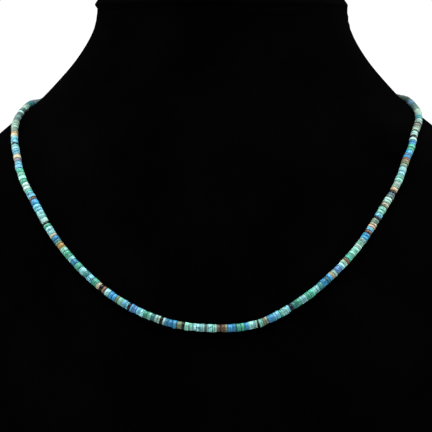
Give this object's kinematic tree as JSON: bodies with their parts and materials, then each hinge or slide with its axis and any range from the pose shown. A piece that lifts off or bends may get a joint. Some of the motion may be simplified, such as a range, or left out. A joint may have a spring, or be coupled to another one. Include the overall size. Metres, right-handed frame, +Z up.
{
  "type": "beaded necklace on a neck bust",
  "caption": "A string of thin round stone disc beads, closed by a barrel clasp at the nape, hanging round a plain velvet-covered display bust with a flat foot.",
  "frame": {"origin": "on the bust's flat foot, on the upright line through the middle of its neck", "axes": "+Z up, the chest and the hanging string face -Y, +X to the right in the front view"},
  "size_m": [0.2092, 0.1351, 0.2],
  "materials": {
    "velvet": "black velvet with a short dense nap, stretched smooth over the bust and turned over at the top of the neck",
    "bead_stone": "polished stone in mixed pale blue, mint, sea green and a few brown, cream and dark beads, veined with dark matrix",
    "clasp_metal": "polished silver colour"
  },
  "bodies": {
    "root": {"neck_bust": "velvet", "bead_string_left": "bead_stone", "bead_string_right": "bead_stone", "clasp": "clasp_metal"}
  },
  "joints": []
}
